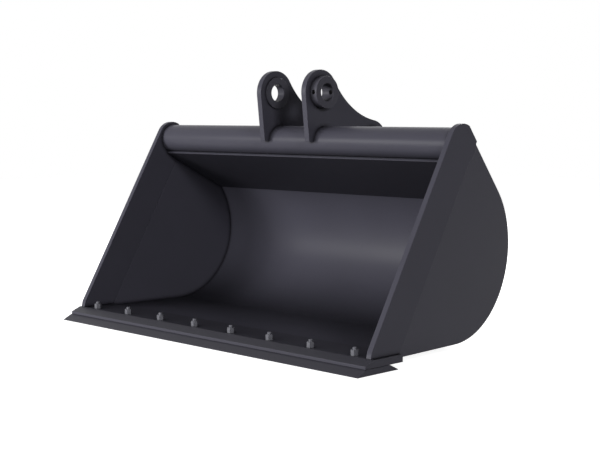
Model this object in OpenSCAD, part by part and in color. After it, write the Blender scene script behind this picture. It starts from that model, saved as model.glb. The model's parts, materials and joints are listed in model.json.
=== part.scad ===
// Ditching bucket for a mini excavator, in millimetres.
// The bucket stands on its cutting edge with its mouth towards -Y, its width along X and +Z up.
// The origin is the middle of the front (arm) pin bore, halfway between the two ears.
// Profiles are drawn in the Y-Z plane, measured from the front of the cutting edge and from the ground.

/* [Width and plates] */
// Width over the two side cutters
body_w = 1200; // [900:10:1800]
// Thickness of the rolled shell sheet
shell_t = 8; // [6:0.5:12]
// Thickness of the side sheets behind the cutters
side_t = 8; // [6:0.5:12]
// Angle at which the side sheets run inwards behind the cutters
side_taper = 3.5; // [0:0.1:6]

/* [Shell] */
// Length of the flat floor behind the lip
floor_l = 252; // [200:1:320]
// Outside radius of the rolled back
back_r = 239; // [200:1:280]
// Slope of the straight roof above the horizontal
roof_slope = 48; // [44:0.5:54]
// Length of the straight roof, from the rolled back to the top tube
roof_l = 218; // [180:1:260]
// Angle up the rolled back, from its horizontal radius, where the box plate meets it
box_angle = 32.7; // [26:0.1:36]
// Thickness of the plate that closes the box under the roof
box_t = 8; // [6:0.5:12]

/* [Top tube] */
// Outside diameter of the top tube
tube_d = 88.9; // [76.1:0.1:114.3]
// Wall of the top tube
tube_wall = 8; // [5:0.1:12]
// How far the roof's outer face lies outside the tube's skin
roof_lap = 3.6; // [2:0.1:5]

/* [Side cutters] */
// Thickness of the side cutters
cutter_t = 16; // [12:1:25]
// Width of the side cutters, square to their front edge
cutter_w = 101; // [80:1:130]
// How far the round top of a cutter stands out around the tube
cutter_rim = 10; // [6:0.5:14]
// Slope of a cutter's straight rear top edge above the horizontal
rim_slope = 51.5; // [49:0.5:55]
// Height of the blunt toe at the foot of a cutter
toe_h = 18; // [10:1:26]
// How far the toe leans back over its height
toe_run = 4.5; // [2:0.5:8]

/* [Lip and cutting edge] */
// Thickness of the lip plate
lip_t = 20; // [16:1:25]
// Length of the lip plate, front to rear
lip_l = 140; // [125:1:170]
// Length of the bevel on the lip's upper front
lip_bevel = 29.5; // [22:0.5:34]
// Height of the square nose that the bevel leaves
lip_nose = 8; // [5:0.5:11]
// How far the lip sticks out beyond each side cutter
lip_out = 9; // [4:0.5:16]
// How far the lip's upper face stands above the floor
lip_step = 5; // [2:0.5:7]
// Thickness of the bolt-on cutting edge
edge_t = 16; // [12:1:20]
// Length of the cutting edge, front to rear
edge_l = 150; // [130:1:180]
// Length of the bevel on the front and on the rear of the cutting edge
edge_bevel = 30; // [24:1:36]
// Blunt land left at the sharp corners of the cutting edge
edge_land = 1.5; // [0.8:0.1:3]
// How far the cutting edge sticks out beyond each side cutter
edge_out = 11; // [5:0.5:18]

/* [Edge bolts] */
// Distance from each end bolt to the outer face of its side cutter
bolt_inset = 66.6; // [50:0.1:90]
// Thread diameter of the plough bolts
bolt_d = 12; // [10:1:16]
// Diameter of the countersunk bolt head
bolt_head_d = 25; // [21:0.5:29]
// Depth of the countersunk bolt head
bolt_head_h = 8; // [6:0.5:10]
// Clearance around a bolt in its hole
bolt_gap = 0.5; // [0.2:0.1:1]
// Nut size across its flats
nut_af = 19; // [17:0.5:24]
// Height of a nut
nut_h = 15; // [10:0.5:18]
// Length of thread that shows above a nut
bolt_end = 6; // [3:0.5:10]

/* [Ears and pins] */
// Diameter of the pin bores
pin_d = 50; // [40:1:60]
// Distance between the arm pin and the link pin
pin_spacing = 262.5; // [240:0.5:290]
// Angle by which the link pin lies below the arm pin
pin_drop = 33.3; // [28:0.1:38]
// Height of the arm pin above the middle of the top tube
pin_rise = 141; // [125:1:160]
// Distance of the arm pin in front of the middle of the top tube
pin_lead = 13; // [0:0.5:30]
// Free width between the bosses, for the arm
arm_gap = 154.5; // [130:0.5:180]
// Thickness of an ear plate
ear_t = 18; // [15:1:25]
// Radius of the ear plate round each pin
ear_r = 65; // [58:0.5:75]
// Radius of the hollow sweep between the two pins
ear_sweep_r = 257; // [200:1:320]
// Outside diameter of the pin bosses
boss_d = 92; // [82:1:104]
// How far a plain boss stands out on a face of an ear
boss_step = 5.5; // [2:0.5:8]
// How far a boss with a lock bolt stands out on the outer face of an ear
boss_out = 24; // [18:0.5:30]
// Chamfer at the mouths of the pin bores
bore_chamfer = 2; // [1:0.1:3]
// Diameter of the lock bolt's hole through a boss
lock_d = 13; // [10:0.5:16]
// Width of an ear's front foot where it ends on the tube
foot_w = 18; // [12:0.5:26]

/* [Hidden] */
$fn = 96;

// Paint and steel
paint = [0.22, 0.22, 0.24];
paint_light = [0.27, 0.27, 0.29];
worn_steel = [0.36, 0.36, 0.39];
zinc = [0.62, 0.63, 0.66];

// One overrun serves every cut
over = 10;
// Where a straight edge meets an arc it runs this far inside it, so that the two fuse into one piece
touch = 0.02;
bolt_count = 8;
// The bolts are spread evenly, 152.4 mm apart on a bucket 1200 mm wide
bolt_pitch = (body_w - 2 * bolt_inset) / (bolt_count - 1);

// Half widths: over the cutters, and between them
half_w = body_w / 2;
half_in = half_w - cutter_t;

// Heights above the ground
lip_top = edge_t + lip_t;
floor_top = lip_top - lip_step;
floor_z = floor_top - shell_t;

// Places from the front of the cutting edge
lip_y = edge_bevel;
lip_rear = lip_y + lip_l;
bolt_y = edge_l / 2;
toe_y = lip_y + lip_bevel;

// The rolled back: its middle, and the roof's two directions
back_y = lip_rear + floor_l;
back_z = floor_z + back_r;
roof_up = [-cos(roof_slope), sin(roof_slope)];
roof_out = [sin(roof_slope), cos(roof_slope)];
back_mid = [back_y, back_z];
roof_foot = back_mid + back_r * roof_out;

// The top tube hangs inside the roof's outer face
tube_r = tube_d / 2;
tube_mid = roof_foot + roof_l * roof_up - (tube_r + roof_lap) * roof_out;

// A cutter's front edge runs from its toe to its round top, which it touches
rim_r = tube_r + cutter_rim;
toe = [toe_y + toe_run, lip_top + toe_h];
toe_to_tube = tube_mid - toe;
lean = atan2(toe_to_tube[0], toe_to_tube[1]) - asin((rim_r - touch) / norm(toe_to_tube));
edge_dir = [sin(lean), cos(lean)];
edge_back = [cos(lean), -sin(lean)];
edge_len = toe_to_tube * edge_dir;
// The step is where a cutter ends and its side sheet begins, up to the roof's outer face
step_foot = toe + cutter_w * edge_back;
step_len = (roof_foot - step_foot) * roof_out / (edge_dir * roof_out);
step_head = step_foot + step_len * edge_dir;
// A cutter's rear top edge runs from there, a little steeper than the roof, into the round top
rim_out = [sin(rim_slope), cos(rim_slope)];
rim_rise = (step_head - tube_mid) * rim_out;

// The box plate leaves the rolled back at a crease and runs up under the tube
crease = back_mid + (back_r - shell_t) * [cos(box_angle), sin(box_angle)];
to_tube = tube_mid - crease;
box_slope = atan2(to_tube[1], -to_tube[0]) - asin((tube_r + box_t) / norm(to_tube));
box_dir = [-cos(box_slope), sin(box_slope)];
box_len = to_tube * box_dir;

// The pins
arm_pin = tube_mid + [-pin_lead, pin_rise];
link_pin = arm_pin + pin_spacing * [cos(pin_drop), -sin(pin_drop)];
sweep_mid = (arm_pin + link_pin) / 2 + [sin(pin_drop), cos(pin_drop)]
    * sqrt(pow(ear_r + ear_sweep_r - touch, 2) - pow(pin_spacing / 2, 2));
ear_in = arm_gap / 2 + boss_step;
ear_out = ear_in + ear_t;

// An ear's front edge touches the circle round the arm pin and ends on the tube's front
foot_front = tube_mid - [tube_r + foot_w, 0];
pin_to_foot = foot_front - arm_pin;
front_angle = atan2(pin_to_foot[1], pin_to_foot[0]) - acos((ear_r - touch) / norm(pin_to_foot));
ear_front = arm_pin + (ear_r - touch) * [cos(front_angle), sin(front_angle)];
// Its rear edge touches the circle round the link pin and ends at the foot of the roof
pin_to_roof = roof_foot - link_pin;
rear_angle = atan2(pin_to_roof[1], pin_to_roof[0]) + acos((ear_r - touch) / norm(pin_to_roof));
ear_rear = link_pin + (ear_r - touch) * [cos(rear_angle), sin(rear_angle)];

// A length that reaches past the whole bucket
reach = body_w + back_y + back_r;

// Bolt number n, counted from the left
function bolt_x(n) = (n - (bolt_count + 1) / 2) * bolt_pitch;

// Moves a piece from the ground's frame to the arm pin
module at_pin() translate([0, -arm_pin[0], -arm_pin[1]]) children();

// Extrudes a Y-Z profile along X, from x0 to x1
module across(x0, x1) translate([x0, 0, 0]) rotate([90, 0, 90]) linear_extrude(x1 - x0) children();

// Does a right-hand piece again on the left
module on_left() mirror([1, 0, 0]) children();

// Everything on the inner side of the roof's outer face, moved out by d
module under_roof(d = 0) translate(roof_foot + d * roof_out) rotate(-roof_slope)
    translate([-reach, -reach]) square([2 * reach, reach]);

// Everything behind the step line
module behind_step() translate(step_foot) rotate(-lean) translate([0, -reach]) square([reach, 2 * reach]);

// The rolled back's sector of a disc, from the floor round to the foot of the roof
module back_sector(r) intersection() {
    translate(back_mid) circle(r = r, $fn = 180);
    polygon([back_mid, back_mid - [0, reach], back_mid + [reach, -reach], back_mid + reach * roof_out]);
}

// The outside of the shell, as a solid profile
module shell_outline() {
    back_sector(back_r);
    polygon([[lip_rear, floor_z], [back_y, floor_z], back_mid, roof_foot,
        roof_foot + roof_l * roof_up, tube_mid, [lip_rear, floor_top]]);
}

// One bent sheet: flat floor, rolled back and straight roof
module shell_profile() {
    translate([lip_rear, floor_z]) square([floor_l, shell_t]);
    difference() {
        back_sector(back_r);
        translate(back_mid) circle(r = back_r - shell_t, $fn = 180);
    }
    translate(roof_foot) rotate(-roof_slope) translate([-roof_l, -shell_t]) square([roof_l, shell_t]);
}

// The space between the two side sheets, which narrows behind the step
module between_sides() {
    translate([0, step_foot[0], step_foot[1]]) rotate([-lean, 0, 0])
        linear_extrude(2 * reach, center = true)
            polygon([[-half_in, -reach], [half_in, -reach], [half_in, 0],
                [half_in - reach * tan(side_taper), reach],
                [-half_in + reach * tan(side_taper), reach], [-half_in, 0]]);
}

// The tube across the top of the mouth, butted between the cutters
module top_tube() color(paint) at_pin()
    across(-half_in, half_in) translate(tube_mid) difference() {
        circle(d = tube_d);
        circle(d = tube_d - 2 * tube_wall);
    }

// Floor, rolled back and roof in one sheet; the roof ends on the tube
module shell_sheet() color(paint) at_pin() intersection() {
    across(-half_in, half_in) difference() {
        shell_profile();
        translate(tube_mid) circle(d = tube_d);
    }
    between_sides();
}

// The plate that closes the box behind the tube, square at its front and cut to the rolled back
module box_plate() color(paint_light) at_pin() intersection() {
    across(-half_in, half_in) intersection() {
        difference() {
            translate(crease) rotate(-box_slope) translate([-box_len, 0]) square([box_len + over, box_t]);
            difference() {
                back_sector(back_r + over);
                translate(back_mid) circle(r = back_r - shell_t, $fn = 180);
            }
        }
        under_roof(-shell_t);
    }
    between_sides();
}

// A side sheet fills the profile behind the cutter and runs inwards to the rear
module right_side_sheet() color(paint) at_pin() intersection() {
    across(0, half_w) intersection() {
        shell_outline();
        behind_step();
    }
    translate([0, step_foot[0], step_foot[1]]) rotate([-lean, 0, 0])
        linear_extrude(2 * reach, center = true)
            polygon([[half_in, 0], [half_in + side_t, 0],
                [half_in + side_t - reach * tan(side_taper), reach],
                [half_in - reach * tan(side_taper), reach]]);
}

// Extrudes a profile across the right-hand side cutter, grown at both faces
module across_cutter(grow = 0) across(half_in - grow, half_w + grow) children();

// A side cutter: a thick band up the mouth, with a blunt toe and a round top about the tube
module right_side_cutter() color(paint_light) at_pin() difference() {
    union() {
        across_cutter() polygon([[toe_y, floor_z], [toe_y, lip_top], toe, toe + edge_len * edge_dir,
            tube_mid, tube_mid + rim_rise * rim_out, step_head,
            step_foot + (floor_z - step_foot[1]) / edge_dir[1] * edge_dir]);
        across_cutter() intersection() {
            translate(tube_mid) circle(r = rim_r);
            translate(step_head) rotate(-rim_slope) translate([-reach, -reach]) square([2 * reach, reach]);
        }
    }
    across_cutter(over) square([lip_rear, lip_top]);
}

// The lip plate, bevelled on its upper front
module lip_plate() color(paint_light) at_pin() difference() {
    across(-half_w - lip_out, half_w + lip_out)
        polygon([[lip_y, edge_t], [lip_y, edge_t + lip_nose], [toe_y, lip_top],
            [lip_rear, lip_top], [lip_rear, edge_t]]);
    for (n = [1 : bolt_count]) translate([bolt_x(n), bolt_y, edge_t - over])
        cylinder(d = bolt_d + 2 * bolt_gap, h = lip_t + 2 * over);
}

// The head of a plough bolt: a countersunk cone on a square neck, grown by gap for its seat
module bolt_head(gap = 0) {
    cylinder(d1 = bolt_head_d, d2 = bolt_d, h = bolt_head_h);
    translate([-bolt_d / 2 - gap, -bolt_d / 2 - gap, 0]) cube([bolt_d + 2 * gap, bolt_d + 2 * gap, edge_t]);
}

// The reversible cutting edge, bevelled front and rear, with a square countersunk hole for each bolt
module cutting_edge() color(worn_steel) at_pin() difference() {
    across(-half_w - edge_out, half_w + edge_out)
        polygon([[0, 0], [0, edge_land], [edge_bevel, edge_t], [edge_l - edge_bevel, edge_t],
            [edge_l, edge_land], [edge_l, 0]]);
    for (n = [1 : bolt_count]) translate([bolt_x(n), bolt_y, 0]) {
        bolt_head(bolt_gap);
        translate([0, 0, -over]) cylinder(d = bolt_head_d, h = over);
        translate([0, 0, edge_t - over]) cylinder(d = bolt_d, h = 2 * over);
    }
}

// A plough bolt, flush with the underside of the cutting edge
module plough_bolt(n) color(zinc) at_pin() translate([bolt_x(n), bolt_y, 0]) {
    bolt_head();
    cylinder(d = bolt_d, h = lip_top + nut_h + bolt_end - bolt_d / 8);
    translate([0, 0, lip_top + nut_h + bolt_end - bolt_d / 8])
        cylinder(d1 = bolt_d, d2 = bolt_d * 3 / 4, h = bolt_d / 8);
}

// A hexagon nut with chamfered corners, seated on the lip
module edge_nut(n) color(zinc) at_pin() translate([bolt_x(n), bolt_y, lip_top]) difference() {
    intersection() {
        rotate(30) cylinder(d = nut_af / cos(30), h = nut_h, $fn = 6);
        cylinder(d1 = nut_af + 2 * nut_h, d2 = nut_af, h = nut_h);
    }
    translate([0, 0, -over]) cylinder(d = bolt_d, h = nut_h + 2 * over);
}

// Extrudes a profile across one ear plate, grown at both faces
module across_ear(side, grow = 0)
    across((side > 0 ? ear_in : -ear_out) - grow, (side > 0 ? ear_out : -ear_in) + grow) children();

// An ear plate: round at both pins, swept hollow between them, saddled on the tube and the roof
module ear(side) at_pin() difference() {
    union() {
        across_ear(side) polygon([ear_front, arm_pin, sweep_mid, link_pin, ear_rear, roof_foot,
            tube_mid, foot_front]);
        across_ear(side) translate(arm_pin) circle(r = ear_r);
        across_ear(side) translate(link_pin) circle(r = ear_r);
    }
    across_ear(side, over) translate(sweep_mid) circle(r = ear_sweep_r, $fn = 180);
    across_ear(side, over) translate(tube_mid) circle(d = tube_d);
    across_ear(side, over) translate(roof_foot) rotate(-roof_slope) translate([-roof_l, -reach])
        square([roof_l + reach, reach]);
    across_ear(side, over) translate(arm_pin) circle(d = boss_d);
    across_ear(side, over) translate(link_pin) circle(d = boss_d);
}

module left_ear() color(paint) ear(-1);
module right_ear() color(paint) ear(1);

// A turned boss through an ear, from x0 to x1, with a chamfer at each end of its bore
module boss(pin, x0, x1) translate([x0, pin[0], pin[1]]) rotate([90, 0, 90]) difference() {
    cylinder(d = boss_d, h = x1 - x0);
    translate([0, 0, -over]) cylinder(d = pin_d, h = x1 - x0 + 2 * over);
    cylinder(d1 = pin_d + 2 * bore_chamfer, d2 = pin_d, h = bore_chamfer);
    translate([0, 0, x1 - x0 - bore_chamfer])
        cylinder(d1 = pin_d, d2 = pin_d + 2 * bore_chamfer, h = bore_chamfer);
}

// The right-hand bosses are long outside the ear, and a lock bolt passes through them fore and aft
module lock_boss(pin) at_pin() difference() {
    boss(pin, arm_gap / 2, ear_out + boss_out);
    translate([ear_out + boss_out / 2, pin[0], pin[1]]) rotate([90, 0, 0])
        cylinder(d = lock_d, h = boss_d + 2 * over, center = true);
}

module plain_boss(pin) at_pin() boss(pin, -ear_out - boss_step, -arm_gap / 2);

module left_arm_boss() color(paint) plain_boss(arm_pin);
module right_arm_boss() color(paint) lock_boss(arm_pin);
module left_link_boss() color(paint) plain_boss(link_pin);
module right_link_boss() color(paint) lock_boss(link_pin);

top_tube();
shell_sheet();
box_plate();
on_left() right_side_sheet();  // left_side_sheet
right_side_sheet();
on_left() right_side_cutter();  // left_side_cutter
right_side_cutter();
lip_plate();
cutting_edge();
left_ear();
right_ear();
left_arm_boss();
right_arm_boss();
left_link_boss();
right_link_boss();
plough_bolt(1);  // plough_bolt_1
plough_bolt(2);  // plough_bolt_2
plough_bolt(3);  // plough_bolt_3
plough_bolt(4);  // plough_bolt_4
plough_bolt(5);  // plough_bolt_5
plough_bolt(6);  // plough_bolt_6
plough_bolt(7);  // plough_bolt_7
plough_bolt(8);  // plough_bolt_8
edge_nut(1);  // edge_nut_1
edge_nut(2);  // edge_nut_2
edge_nut(3);  // edge_nut_3
edge_nut(4);  // edge_nut_4
edge_nut(5);  // edge_nut_5
edge_nut(6);  // edge_nut_6
edge_nut(7);  // edge_nut_7
edge_nut(8);  // edge_nut_8
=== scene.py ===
import json
import math

import bmesh
import bpy
from mathutils import Matrix, Vector


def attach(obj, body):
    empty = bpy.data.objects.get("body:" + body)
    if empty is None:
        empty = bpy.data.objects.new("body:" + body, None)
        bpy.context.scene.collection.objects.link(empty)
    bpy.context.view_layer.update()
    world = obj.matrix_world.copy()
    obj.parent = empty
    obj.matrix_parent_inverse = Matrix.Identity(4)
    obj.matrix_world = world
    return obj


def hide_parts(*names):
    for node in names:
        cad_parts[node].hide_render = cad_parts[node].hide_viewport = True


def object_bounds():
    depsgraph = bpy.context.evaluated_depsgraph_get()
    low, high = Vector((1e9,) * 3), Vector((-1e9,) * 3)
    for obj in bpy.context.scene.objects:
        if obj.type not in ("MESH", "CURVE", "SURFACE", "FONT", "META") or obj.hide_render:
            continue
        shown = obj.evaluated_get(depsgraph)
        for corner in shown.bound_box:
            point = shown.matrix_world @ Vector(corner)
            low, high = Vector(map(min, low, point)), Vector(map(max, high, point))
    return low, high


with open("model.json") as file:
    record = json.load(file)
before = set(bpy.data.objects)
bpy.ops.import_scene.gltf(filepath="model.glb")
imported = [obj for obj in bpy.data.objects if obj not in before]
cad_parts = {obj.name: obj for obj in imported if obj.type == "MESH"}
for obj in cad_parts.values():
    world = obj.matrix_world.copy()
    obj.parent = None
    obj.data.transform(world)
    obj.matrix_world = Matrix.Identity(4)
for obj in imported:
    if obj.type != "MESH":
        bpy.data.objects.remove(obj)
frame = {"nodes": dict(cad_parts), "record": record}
cad_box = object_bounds()
nodes = frame["nodes"]

MM = 0.001
GROUND = cad_box[0].z
# The floor lies this far under the cutting edge, so that the two faces don't share a plane
FLOOR_GAP = 0.5 * MM
FLOOR_SIZE = 8.0
SKIN = bpy.context.scene.collection

# The photograph's camera: 600 x 450 pixels, just right of the front corner, a little above the tube's height
CAMERA_PLACE = Vector((2.5815, -2.5817, -0.0652))
CAMERA_AZIMUTH = 44.8425
CAMERA_DROP = 5.039
LENS_MM = 74.70
SENSOR_MM = 36.0

# Lamps stand on a sphere round the bucket: azimuth from the mouth's side towards +X, elevation, both in degrees,
# the lamp's width in metres, and the light it gives in watts. The first four were fitted to the photograph. The rear
# one lights the back for views from behind.
LAMP_DISTANCE = 4.0
LAMPS = {
    "key_softbox": (3, 11, 1.2, 54),
    "left_softbox": (-39, 12, 1.0, 62),
    "low_softbox": (-28, 1, 0.9, 37),
    "right_softbox": (70, 20, 0.7, 43),
    "rear_softbox": (195, 35, 1.6, 130),
}

# The coat's roughness, and how far it varies from patch to patch
SATIN = 0.35
PATCHES = 0.04
SPECULAR_LEVEL = 0.08
# Sizes: film patches, orange peel (about 2 mm across, drawn at 4 mm so that it shows),
# how far the painted shade in corners reaches, and how far the painted shade deep in the bowl reaches
FILM_PATCH = 140 * MM
PEEL_WIDTH = 4 * MM
PEEL_HEIGHT = 0.3 * MM
PEEL_STRENGTH = 0.08
CORNER_SHADE_REACH = 14 * MM
BOWL_SHADE_REACH = 0.7
# Openness, 0 shut in to 1 free, at which the bowl's painted shade is full and at which there is none
DEEP_AT, SHALLOW_AT = 0.35, 1.0
# Openness in a corner at which the painted shade is darkest and at which there is none, and the share of the colour
# left at the darkest
SHUT_CORNER, OPEN_CORNER = 0.5, 0.95
CORNER_SHADE_LEFT = 0.3
# Share of the colour that a level face deep in the bowl loses to painted shade, and how sharply that painted shade
# falls off with slope
LEVEL_PAINTED_SHADE = 0.92
LEVEL_SHADE_FALL = 1.5
AO_SAMPLES = 8

# Width of the rounding, and the least angle in degrees at which an edge is rounded
PLATE_ROUND, BAR_ROUND, BOLT_ROUND = 1.0 * MM, 0.8 * MM, 0.3 * MM
CREASE = 30
# The bars' bevels slope by 22 to 26 degrees, and keep their edges
BAR_CREASE = 10
# The photograph's nuts have a flat to the front, and the CAD's a corner
NUT_TURN = 30


def linear(hex_colour):
    """The linear colour, with alpha, of an sRGB hex value."""
    shares = [int(hex_colour[i:i + 2], 16) / 255 for i in (1, 3, 5)]
    return [s / 12.92 if s <= 0.04045 else ((s + 0.055) / 1.055) ** 2.4 for s in shares] + [1.0]


def add(tree, kind, feeds=None, **settings):
    """Adds a node. feeds gives its sockets, by name or number, a value or another node's output."""
    node = tree.nodes.new(kind)
    for name, value in settings.items():
        setattr(node, name, value)
    for socket, value in (feeds or {}).items():
        if isinstance(value, bpy.types.NodeSocket):
            tree.links.new(value, node.inputs[socket])
        else:
            node.inputs[socket].default_value = value
    return node


def new_material(name):
    """An empty material, its tree and its output node."""
    material = bpy.data.materials.new(name)
    material.use_nodes = True
    tree = material.node_tree
    tree.nodes.clear()
    return material, tree, tree.nodes.new("ShaderNodeOutputMaterial")


def noise(tree, place, width, detail):
    """Noise whose features are about this wide."""
    return add(tree, "ShaderNodeTexNoise", {"Vector": place, "Scale": 1 / width, "Detail": detail}).outputs["Fac"]


def mixed(tree, factor, low_shade, high_shade):
    """A colour between two sRGB hex shades."""
    return add(tree, "ShaderNodeMix", {"Factor": factor, 6: linear(low_shade), 7: linear(high_shade)},
               data_type="RGBA").outputs[2]


def maths(tree, operation, *values):
    """The result of a maths node."""
    return add(tree, "ShaderNodeMath", dict(enumerate(values)), operation=operation).outputs[0]


def mapped(tree, value, from_min, from_max, to_min, to_max):
    """A value carried from one range to another."""
    return add(tree, "ShaderNodeMapRange", {"Value": value, "From Min": from_min, "From Max": from_max,
                                            "To Min": to_min, "To Max": to_max}).outputs["Result"]


def openness(tree, reach):
    """How free the surface is within this distance, 0 shut in to 1 free."""
    return add(tree, "ShaderNodeAmbientOcclusion", {"Distance": reach}, samples=AO_SAMPLES).outputs["AO"]


def powder_coat(name, shade, dark_shade, slope_painted_shade=0.0, corner_shade_left=CORNER_SHADE_LEFT):
    """Satin polyester powder coat on blasted steel plate: a dark, even colour with faint duller patches, and a faint
    orange peel, which breaks highlights up a little. Painted shade darkens level faces deep in the bowl, the corners
    and, where asked, the slopes."""
    material, tree, output = new_material(name)
    place = add(tree, "ShaderNodeTexCoord").outputs["Object"]
    film = noise(tree, place, FILM_PATCH, 3.0)
    colour = mixed(tree, film, dark_shade, shade)
    # Level faces deep in the bowl are painted darker, most on its floor and roof: painted shade, set to the
    # photograph's tones, as real lamps leave those faces lighter than it shows them
    deep = mapped(tree, openness(tree, BOWL_SHADE_REACH), DEEP_AT, SHALLOW_AT, 1.0, 0.0)
    facing = add(tree, "ShaderNodeSeparateXYZ", {0: add(tree, "ShaderNodeTexCoord").outputs["Normal"]})
    upright = facing.outputs["Z"]
    level = maths(tree, "POWER", maths(tree, "MULTIPLY", upright, upright), LEVEL_SHADE_FALL)
    bowl_painted_shade = maths(tree, "MULTIPLY", maths(tree, "MULTIPLY", level, LEVEL_PAINTED_SHADE), deep)
    unshaded_share = maths(tree, "SUBTRACT", 1.0, bowl_painted_shade)
    # The bars' slopes are painted darker than their upright noses, wherever they are: painted shade for how the light
    # falls on them
    unshaded_share = maths(tree, "MULTIPLY", unshaded_share, maths(tree, "MULTIPLY_ADD", level, -slope_painted_shade, 1.0))
    # Where two plates meet, the colour is painted darker right in the corner: painted shade
    reach = mapped(tree, openness(tree, CORNER_SHADE_REACH), SHUT_CORNER, OPEN_CORNER, corner_shade_left, 1.0)
    share_after_painted_shade = maths(tree, "MULTIPLY", unshaded_share, reach)
    shaded = add(tree, "ShaderNodeVectorMath", {0: colour, "Scale": share_after_painted_shade}, operation="SCALE").outputs[0]
    gloss = mapped(tree, film, 0.0, 1.0, SATIN - PATCHES, SATIN + PATCHES)
    peel = noise(tree, place, PEEL_WIDTH, 2.0)
    bump = add(tree, "ShaderNodeBump", {"Height": peel, "Strength": PEEL_STRENGTH, "Distance": PEEL_HEIGHT})
    paint = add(tree, "ShaderNodeBsdfPrincipled", {
        "Base Color": shaded, "Roughness": gloss, "Normal": bump.outputs["Normal"],
        "IOR": 1.5, "Specular IOR Level": SPECULAR_LEVEL})
    tree.links.new(paint.outputs["BSDF"], output.inputs["Surface"])
    return material


def phosphated_steel(name):
    """Zinc-phosphated high-tensile fasteners: a grey, mostly matt crystal coat with a fine grain and a slight sheen
    of metal, lighter than the paint."""
    material, tree, output = new_material(name)
    place = add(tree, "ShaderNodeTexCoord").outputs["Object"]
    grain = noise(tree, place, 3 * MM, 3.0)
    steel = add(tree, "ShaderNodeBsdfPrincipled", {"Base Color": mixed(tree, grain, "#54545b", "#63636b"),
                                                   "Metallic": 0.2, "Roughness": 0.35})
    tree.links.new(steel.outputs["BSDF"], output.inputs["Surface"])
    return material


def seen_directly(tree):
    """1 for a ray from the camera or one that a shiny or clear surface sends on, and otherwise 0."""
    path = add(tree, "ShaderNodeLightPath").outputs
    camera_or_glossy = maths(tree, "MAXIMUM", path["Is Camera Ray"], path["Is Glossy Ray"])
    return maths(tree, "MAXIMUM", camera_or_glossy, path["Is Transmission Ray"])


def studio_floor():
    """A floor that is white where it is seen, apart from the bucket's shadow, and sends little light up again. Its
    glow is a little weaker near the bucket, so that the lamps' light there doesn't take it past white and hide the
    shadow."""
    mesh = bmesh.new()
    bmesh.ops.create_grid(mesh, x_segments=1, y_segments=1, size=FLOOR_SIZE,
                          matrix=Matrix.Translation((0, 0, GROUND - FLOOR_GAP)))
    floor = finish_mesh("studio_floor", mesh)
    material, tree, output = new_material("white_floor")
    dark = add(tree, "ShaderNodeBsdfDiffuse", {"Color": linear("#595959")})
    pale = add(tree, "ShaderNodeBsdfDiffuse", {"Color": linear("#e6e6e6")})
    place = add(tree, "ShaderNodeTexCoord").outputs["Object"]
    away = add(tree, "ShaderNodeVectorMath", {0: place}, operation="LENGTH")
    glow = mapped(tree, away.outputs["Value"], 1.2, 2.4, 0.93, 1.0)
    white = add(tree, "ShaderNodeEmission", {"Color": (1, 1, 1, 1), "Strength": glow})
    lit = add(tree, "ShaderNodeAddShader", {0: pale.outputs[0], 1: white.outputs[0]})
    both = add(tree, "ShaderNodeMixShader", {0: seen_directly(tree), 1: dark.outputs[0], 2: lit.outputs[0]})
    tree.links.new(both.outputs[0], output.inputs["Surface"])
    floor.data.materials.append(material)


def studio_world():
    """White where it is seen, and dark to every other ray, so that only the lamps light the paint."""
    world = bpy.data.worlds.new("studio")
    bpy.context.scene.world = world
    world.use_nodes = True
    tree = world.node_tree
    tree.nodes.clear()
    dark = add(tree, "ShaderNodeBackground", {"Color": (1, 1, 1, 1), "Strength": 0.0})
    white = add(tree, "ShaderNodeBackground", {"Color": (1, 1, 1, 1), "Strength": 1.0})
    both = add(tree, "ShaderNodeMixShader", {0: seen_directly(tree), 1: dark.outputs[0], 2: white.outputs[0]})
    output = add(tree, "ShaderNodeOutputWorld")
    tree.links.new(both.outputs[0], output.inputs["Surface"])


def lamps():
    """Square softboxes, all aimed at the middle of the bucket."""
    middle = (cad_box[0] + cad_box[1]) / 2
    for name, (azimuth, elevation, width, watts) in LAMPS.items():
        light = bpy.data.lights.new(name, "AREA")
        light.energy = watts
        light.size = width
        lamp = bpy.data.objects.new(name, light)
        turn = Matrix.Rotation(math.radians(azimuth), 4, "Z") @ Matrix.Rotation(math.radians(90 - elevation), 4, "X")
        lamp.matrix_world = Matrix.Translation(middle) @ turn @ Matrix.Translation((0, 0, LAMP_DISTANCE))
        SKIN.objects.link(lamp)


def camera():
    """The photograph's viewpoint."""
    data = bpy.data.cameras.new("photo_camera")
    data.lens = LENS_MM
    data.sensor_width = SENSOR_MM
    eye = bpy.data.objects.new("photo_camera", data)
    eye.location = CAMERA_PLACE
    eye.rotation_euler = (math.radians(90 - CAMERA_DROP), 0, math.radians(CAMERA_AZIMUTH))
    SKIN.objects.link(eye)
    bpy.context.scene.camera = eye


def finish_mesh(name, mesh):
    """Makes an object of a bmesh."""
    data = bpy.data.meshes.new(name)
    mesh.to_mesh(data)
    mesh.free()
    piece = bpy.data.objects.new(name, data)
    SKIN.objects.link(piece)
    return piece


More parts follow.
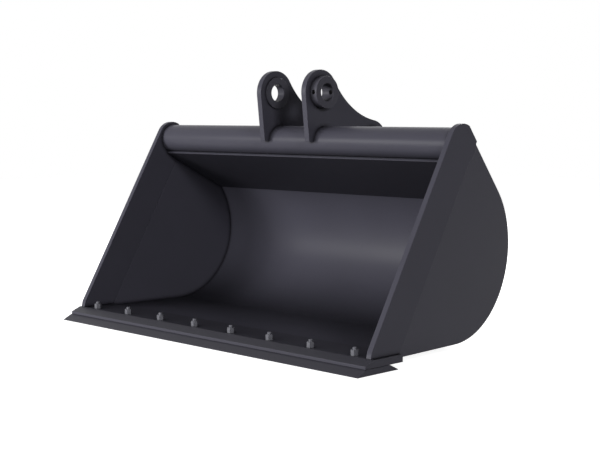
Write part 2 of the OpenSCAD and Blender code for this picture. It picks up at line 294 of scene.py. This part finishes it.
def dress(node, material, rounding, crease=CREASE, turn=0):
    """A copy of a CAD node with its loose triangles merged and its edges rounded, which stands for the node. It can
    be turned, in degrees, about the upright line through its middle."""
    mesh = bmesh.new()
    mesh.from_mesh(nodes[node].data)
    if turn:
        xs, ys = [v.co.x for v in mesh.verts], [v.co.y for v in mesh.verts]
        middle = ((min(xs) + max(xs)) / 2, (min(ys) + max(ys)) / 2, 0)
        bmesh.ops.rotate(mesh, cent=middle, matrix=Matrix.Rotation(math.radians(turn), 3, "Z"), verts=mesh.verts)
    bmesh.ops.remove_doubles(mesh, verts=mesh.verts, dist=0.01 * MM)
    bmesh.ops.dissolve_limit(mesh, angle_limit=math.radians(0.3), verts=mesh.verts, edges=mesh.edges)
    for face in mesh.faces:
        face.smooth = True
    piece = finish_mesh(node + "_piece", mesh)
    piece.data.materials.clear()
    piece.data.materials.append(material)
    bevel = piece.modifiers.new("rounded_edges", "BEVEL")
    bevel.width = rounding
    bevel.segments = 2
    bevel.limit_method = "ANGLE"
    bevel.angle_limit = math.radians(crease)
    bevel.use_clamp_overlap = False
    # Flat plate faces keep their own normals, so that only the rounded edges catch the light
    flat = piece.modifiers.new("flat_faces", "WEIGHTED_NORMAL")
    flat.mode = "FACE_AREA"
    flat.weight = 100
    flat.keep_sharp = True
    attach(piece, "root")
    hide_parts(node)


camera()
lamps()
studio_world()
studio_floor()
bpy.context.scene.view_settings.view_transform = "Standard"

charcoal = powder_coat("charcoal_powder_coat", "#504f5a", "#4c4b55")
# The bars' coat has painted shade on its slopes and no painted shade in its corners
edge_coat = powder_coat("edge_bar_powder_coat", "#504f59", "#4c4b54", slope_painted_shade=0.48, corner_shade_left=1.0)
# The bosses get the charcoal coat painted a little lighter: painted light, standing for more light falling on them
boss_lightened_coat = powder_coat("boss_powder_coat_painted_lighter", "#56555f", "#52515a")
fastener = phosphated_steel("phosphated_fastener_steel")

# Each slot's material, rounding, crease and turn
DRESSES = {
    "charcoal_paint": (charcoal, PLATE_ROUND, CREASE, 0),
    "edge_paint": (edge_coat, BAR_ROUND, BAR_CREASE, 0),
    "boss_paint": (boss_lightened_coat, BAR_ROUND, CREASE, 0),
    "bolt_steel": (fastener, BOLT_ROUND, CREASE, 0),
    "nut_steel": (fastener, BOLT_ROUND, CREASE, NUT_TURN),
}
for subpart in frame["record"]["subparts"]:
    slot = subpart["material_slot"]
    material, rounding, crease, turn = DRESSES[slot]
    dress(subpart["node"], material, rounding, crease, turn)
